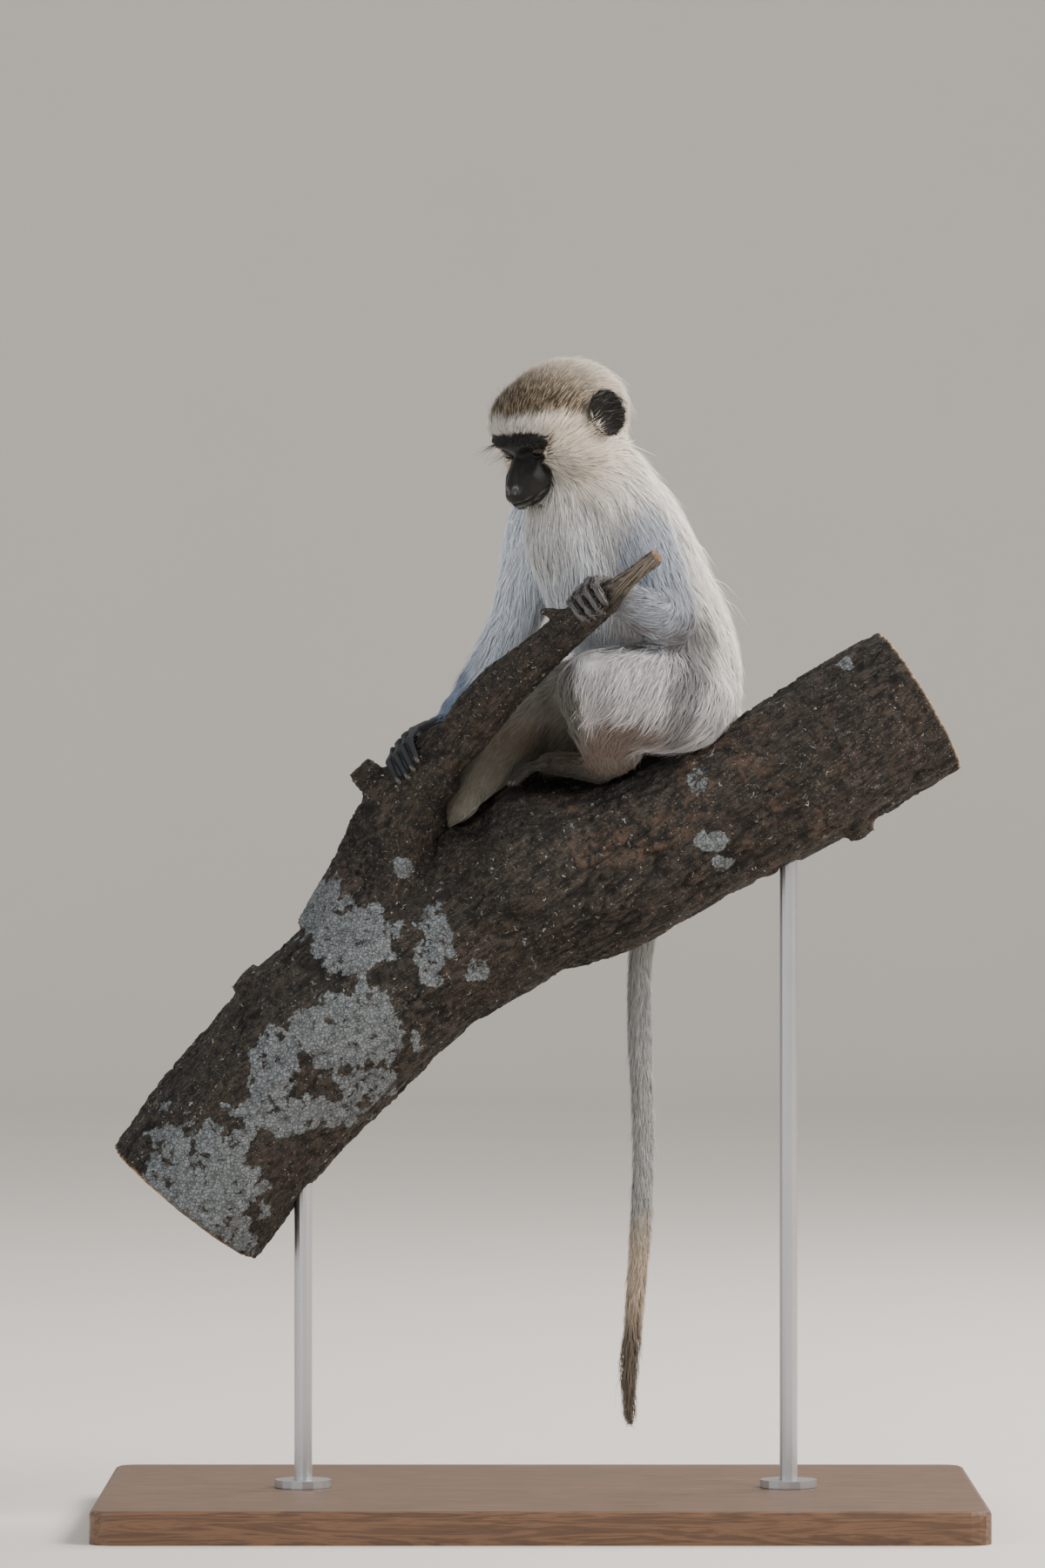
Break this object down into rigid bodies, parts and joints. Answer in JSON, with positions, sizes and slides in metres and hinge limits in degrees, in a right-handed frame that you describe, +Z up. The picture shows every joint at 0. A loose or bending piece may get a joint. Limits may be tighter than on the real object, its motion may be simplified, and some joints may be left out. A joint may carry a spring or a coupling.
{
  "type": "vervet monkey museum model",
  "caption": "Young vervet monkey sitting on a forked limb and holding its side branch, a still life-size display model on a flat base with rods.",
  "frame": {"origin": "middle of the base's underside", "axes": "+X along the limb's rising direction, +Y away from the viewer to the far side of the display, +Z up"},
  "size_m": [0.584, 0.34, 0.7753],
  "materials": {
    "coat": "soft fur, white below and grizzled olive grey on the crown, matt",
    "dark_skin": "bare dark skin, slightly shiny",
    "eye": "dark brown, wet gloss",
    "bark": "rough dark bark with pale lichen patches",
    "base_wood": "dark stained wood, satin",
    "steel": "dark brushed steel"
  },
  "bodies": {
    "root": {"head": "coat", "neck": "coat", "trunk": "coat", "upper_arm_left": "coat", "upper_arm_right": "coat", "forearm_left": "coat", "forearm_right": "coat", "thigh_left": "coat", "thigh_right": "coat", "shin_left": "coat", "shin_right": "coat", "tail_1": "coat", "tail_2": "coat", "tail_3": "coat", "tail_4": "coat", "ear_left": "dark_skin", "ear_right": "dark_skin", "hand_left": "dark_skin", "hand_right": "dark_skin", "foot_left": "dark_skin", "foot_right": "dark_skin", "eye_left": "eye", "eye_right": "eye", "perch_limb": "bark", "perch_branch": "bark", "stand_base": "base_wood", "stand_rod_left": "steel", "stand_rod_right": "steel", "stand_flange_left": "steel", "stand_flange_right": "steel"}
  },
  "joints": []
}
